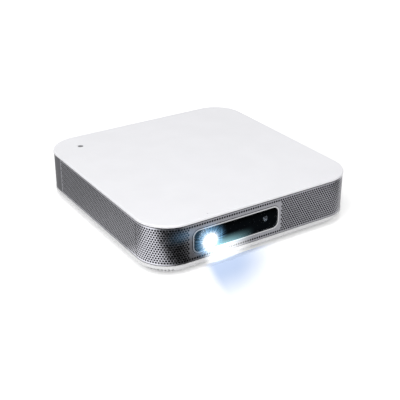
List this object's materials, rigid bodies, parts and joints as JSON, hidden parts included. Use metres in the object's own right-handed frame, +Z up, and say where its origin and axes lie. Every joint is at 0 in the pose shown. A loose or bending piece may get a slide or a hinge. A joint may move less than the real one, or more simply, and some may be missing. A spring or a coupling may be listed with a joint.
{
  "type": "projector with disc drive",
  "caption": "Flat rounded-square portable projector with a perforated wrap-around grille, a front window over its lens and a slim disc tray that slides out of its right side.",
  "frame": {"origin": "on the surface that the rubber feet stand on, under the middle of the case", "axes": "+Z up; -Y out of the projection window at the front; +X to the right as seen from the front, the way the disc tray slides out"},
  "size_m": [0.195, 0.198, 0.044],
  "materials": {
    "white_cover": "satin",
    "white_base": "satin",
    "frame_black": "matte",
    "grille_metal": "satin, finely perforated",
    "rear_grey": "fine matt texture",
    "foot_rubber": "matt",
    "screw_steel": "plated",
    "brass": "turned",
    "ring_silver": "polished",
    "window_glass": "clear, lightly tinted",
    "mask_black": "gloss",
    "lens_black": "satin",
    "lens_glass": "coated",
    "cast_grey": "cast",
    "circuit_board": "solder mask",
    "heatsink": "bare",
    "copper": "copper",
    "socket_metal": "plated",
    "socket_black": "moulded",
    "cone_black": "pulp cone",
    "button_grey": "satin",
    "drive_steel": "plated sheet",
    "tray_black": "matt",
    "bezel_silver": "satin",
    "hub_grey": "satin",
    "sled_black": "moulded",
    "ribbon_white": "flat ribbon"
  },
  "bodies": {
    "case": {"top_cover": "white_cover", "base_pan": "white_base", "inner_frame": "frame_black", "left_speaker": "frame_black", "right_speaker": "frame_black", "blower_case": "frame_black", "exhaust_fan_frame": "frame_black", "front_grille": "grille_metal", "left_grille": "grille_metal", "right_grille": "grille_metal", "rear_cover": "rear_grey", "rubber_feet": "foot_rubber", "case_screws": "screw_steel", "focus_motor": "screw_steel", "tripod_insert": "brass", "window_ring": "ring_silver", "window_glass": "window_glass", "window_mask": "mask_black", "focus_camera": "lens_black", "lens_mount": "cast_grey", "engine_housing": "cast_grey", "sensor_board": "circuit_board", "imager_board": "circuit_board", "main_board": "circuit_board", "power_board": "circuit_board", "button_board": "circuit_board", "imager_heatsink": "heatsink", "fin_stack": "heatsink", "led_blocks": "copper", "heat_pipes": "copper", "hdmi_socket": "socket_metal", "usb_socket": "socket_metal", "dc_inlet": "socket_black", "audio_socket": "socket_black", "drive_case": "drive_steel", "drive_lid": "drive_steel", "drive_cable": "ribbon_white"},
    "tray": {"tray": "tray_black", "tray_bezel": "bezel_silver", "traverse_plate": "screw_steel", "spindle_motor": "screw_steel", "guide_rods": "screw_steel", "sled_motor": "screw_steel"},
    "front_rail": {"front_rail": "screw_steel"},
    "rear_rail": {"rear_rail": "screw_steel"},
    "eject_button": {"eject_button": "bezel_silver"},
    "spindle": {"spindle_hub": "hub_grey"},
    "sled": {"pickup_sled": "sled_black"},
    "lead_screw": {"lead_screw": "screw_steel"},
    "focus_ring": {"focus_ring": "lens_black"},
    "lens": {"lens_barrel": "lens_black", "front_lens": "lens_glass", "rear_lens": "lens_glass"},
    "focus_pinion": {"focus_pinion": "brass"},
    "exhaust_rotor": {"exhaust_fan_rotor": "frame_black"},
    "blower_rotor": {"blower_rotor": "frame_black"},
    "left_cone": {"left_cone": "cone_black"},
    "right_cone": {"right_cone": "cone_black"},
    "power_button": {"power_button": "button_grey"}
  },
  "joints": [
    {"name": "tray_slide", "type": "slide", "parent": "case", "child": "tray", "axis": [1, 0, 0], "range_m": [0, 0.118]},
    {"name": "front_rail_slide", "type": "slide", "parent": "case", "child": "front_rail", "axis": [1, 0, 0], "range_m": [0, 0.0592]},
    {"name": "rear_rail_slide", "type": "slide", "parent": "case", "child": "rear_rail", "axis": [1, 0, 0], "range_m": [0, 0.0592]},
    {"name": "eject_press", "type": "slide", "parent": "tray", "child": "eject_button", "axis": [-1, 0, 0], "range_m": [0, 0.001], "stiffness_N_per_m": 300},
    {"name": "spindle_spin", "type": "hinge", "parent": "tray", "child": "spindle", "pos_m": [0.031, 0, 0.034], "axis": [0, 0, 1], "continuous": true},
    {"name": "sled_slide", "type": "slide", "parent": "tray", "child": "sled", "axis": [0.7071, -0.7071, 0], "range_m": [0, 0.034]},
    {"name": "lead_screw_spin", "type": "hinge", "parent": "tray", "child": "lead_screw", "pos_m": [0.01954, -0.01146, 0.0293], "axis": [0.7071, -0.7071, 0], "range_deg": [-5, 4090]},
    {"name": "focus_turn", "type": "hinge", "parent": "case", "child": "focus_ring", "pos_m": [-0.048, -0.08, 0.0254], "axis": [0, -1, 0], "range_deg": [-75, 75]},
    {"name": "lens_slide", "type": "slide", "parent": "case", "child": "lens", "axis": [0, -1, 0], "range_m": [-0.00075, 0.00075]},
    {"name": "focus_pinion_spin", "type": "hinge", "parent": "case", "child": "focus_pinion", "pos_m": [-0.03142, -0.08, 0.0254], "axis": [0, -1, 0], "range_deg": [-340, 340]},
    {"name": "exhaust_fan_spin", "type": "hinge", "parent": "case", "child": "exhaust_rotor", "pos_m": [-0.09, 0.04, 0.0225], "axis": [1, 0, 0], "continuous": true},
    {"name": "blower_spin", "type": "hinge", "parent": "case", "child": "blower_rotor", "pos_m": [-0.005, -0.005, 0.012], "axis": [0, 0, 1], "continuous": true},
    {"name": "left_cone_slide", "type": "slide", "parent": "case", "child": "left_cone", "axis": [-1, 0, 0], "range_m": [-0.0006, 0.0006], "stiffness_N_per_m": 800},
    {"name": "right_cone_slide", "type": "slide", "parent": "case", "child": "right_cone", "axis": [0, -1, 0], "range_m": [-0.0006, 0.0006], "stiffness_N_per_m": 800},
    {"name": "power_press", "type": "slide", "parent": "case", "child": "power_button", "axis": [0, 0, -1], "range_m": [0, 0.0008], "stiffness_N_per_m": 400}
  ],
  "couplings": [
    {"joint": "front_rail_slide", "follows": "tray_slide", "ratio": 0.5},
    {"joint": "rear_rail_slide", "follows": "tray_slide", "ratio": 0.5},
    {"joint": "lead_screw_spin", "follows": "sled_slide", "rad_per_m": 2094.4},
    {"joint": "focus_turn", "follows": "lens_slide", "rad_per_m": 1745.3},
    {"joint": "focus_pinion_spin", "follows": "lens_slide", "rad_per_m": -7853.9}
  ]
}
